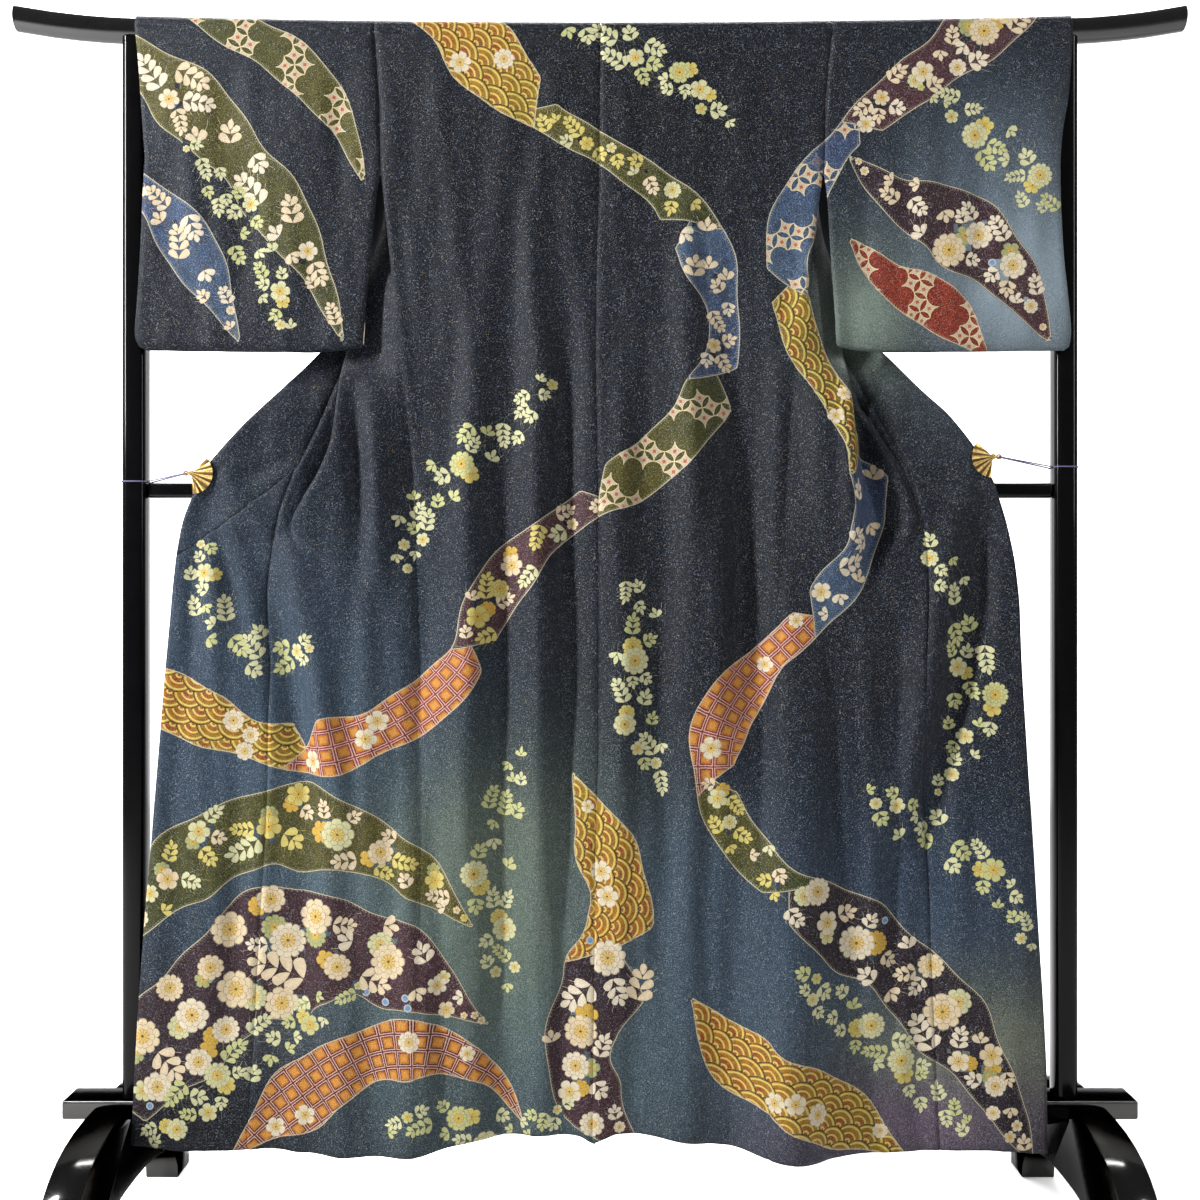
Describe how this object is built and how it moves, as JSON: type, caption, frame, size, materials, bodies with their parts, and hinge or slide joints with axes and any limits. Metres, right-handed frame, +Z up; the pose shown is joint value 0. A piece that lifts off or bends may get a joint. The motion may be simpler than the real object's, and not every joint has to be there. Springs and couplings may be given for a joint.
{
  "type": "silk kimono on display stand",
  "caption": "Formal silk kimono spread open, back outward, over a round rod on a lacquered stand, its collar edges held out by fan clips.",
  "frame": {"origin": "on the floor under the middle of the stand, halfway between the feet's ends", "axes": "+Z up; +X along the rod, to the right of a viewer who faces the kimono's back; -Y towards that viewer"},
  "size_m": [1.708, 0.5398, 1.7989],
  "materials": {
    "silk": "crepe silk, dyed and patterned",
    "lacquer": "black gloss lacquer",
    "clip_brass": "polished",
    "tie_thread": "twisted thread"
  },
  "bodies": {
    "root": {"body_left": "silk", "body_right": "silk", "okumi_left": "silk", "okumi_right": "silk", "collar": "silk", "sleeve_left": "silk", "sleeve_right": "silk", "rod": "lacquer", "post_left": "lacquer", "post_right": "lacquer", "mid_rail": "lacquer", "base_beam": "lacquer", "foot_left": "lacquer", "foot_right": "lacquer", "clip_left": "clip_brass", "clip_right": "clip_brass", "thread_left": "tie_thread", "thread_right": "tie_thread"}
  },
  "joints": []
}
